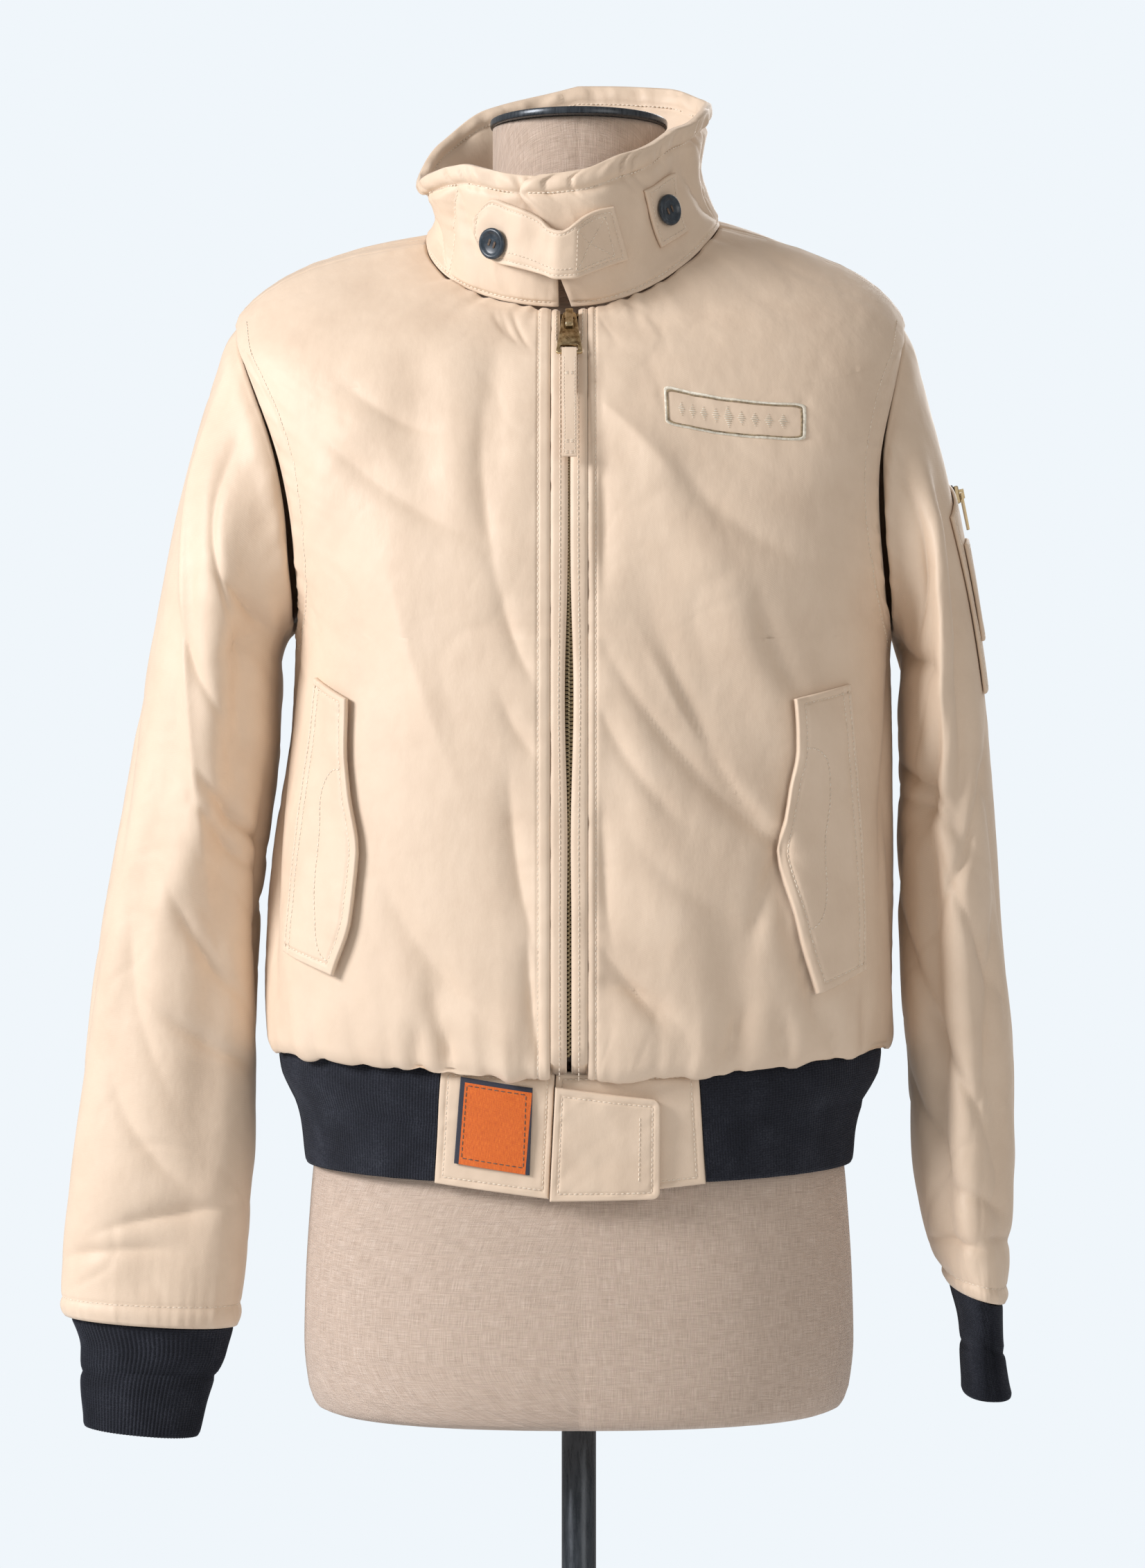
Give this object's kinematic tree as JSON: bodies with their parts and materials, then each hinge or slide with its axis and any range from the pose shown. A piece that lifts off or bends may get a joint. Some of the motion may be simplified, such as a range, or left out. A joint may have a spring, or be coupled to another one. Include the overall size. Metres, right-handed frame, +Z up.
{
  "type": "bomber jacket on a limbless dress form with a pole stand",
  "caption": "Lightly padded satin bomber jacket with a quilted stand collar, knitted cuffs and waistband, worn by a linen dress form on a pole stand.",
  "frame": {"origin": "centre of the stand's round base on the floor, on the pole's axis", "axes": "+Z up; -Y is the jacket's front; -X is the wearer's right"},
  "size_m": [0.5932, 0.36, 1.5566],
  "materials": {
    "sand_satin": "sand satin-weave nylon with a soft sheen over thin padding",
    "navy_knit": "blue-black rib knit, matt",
    "zip_tape": "dark brown woven zip tape",
    "aged_brass": "aged brass, worn brighter along its edges",
    "button_plastic": "dark slate button plastic, half gloss",
    "orange_woven": "plain orange woven ribbon with a dark border",
    "form_linen": "natural linen stretched over the form",
    "blackened_steel": "dark painted steel, half gloss"
  },
  "bodies": {
    "root": {"back": "sand_satin", "front_right": "sand_satin", "front_left": "sand_satin", "sleeve_right": "sand_satin", "sleeve_left": "sand_satin", "cuff_right": "navy_knit", "cuff_left": "navy_knit", "collar": "sand_satin", "throat_latch": "sand_satin", "button_latch": "button_plastic", "button_patch": "sand_satin", "button_spare": "button_plastic", "waistband_knit": "navy_knit", "waist_panel_right": "sand_satin", "waist_panel_left": "sand_satin", "waist_tab": "sand_satin", "front_label": "orange_woven", "zip_strip_right": "sand_satin", "zip_strip_left": "sand_satin", "zip_tape": "zip_tape", "zip_slider": "aged_brass", "pocket_flap_right": "sand_satin", "pocket_flap_left": "sand_satin", "sleeve_pocket": "sand_satin", "pen_pocket": "sand_satin", "sleeve_zip": "zip_tape", "sleeve_zip_slider": "aged_brass", "dress_form": "form_linen", "neck_cap": "blackened_steel", "pole": "blackened_steel", "base": "blackened_steel"},
    "front_pull": {"zip_pull": "aged_brass", "pull_strap": "sand_satin"},
    "sleeve_pull": {"sleeve_zip_pull": "aged_brass"}
  },
  "joints": [
    {"name": "zip_pull_swing", "type": "hinge", "parent": "root", "child": "front_pull", "pos_m": [-0.00593, -0.08013, 1.38825], "axis": [-1, 0, 0], "range_deg": [0, 80]},
    {"name": "sleeve_pull_swing", "type": "hinge", "parent": "root", "child": "sleeve_pull", "pos_m": [0.24096, 0.01153, 1.28871], "axis": [0.0319, -0.9992, 0.0238], "range_deg": [0, 110]}
  ]
}
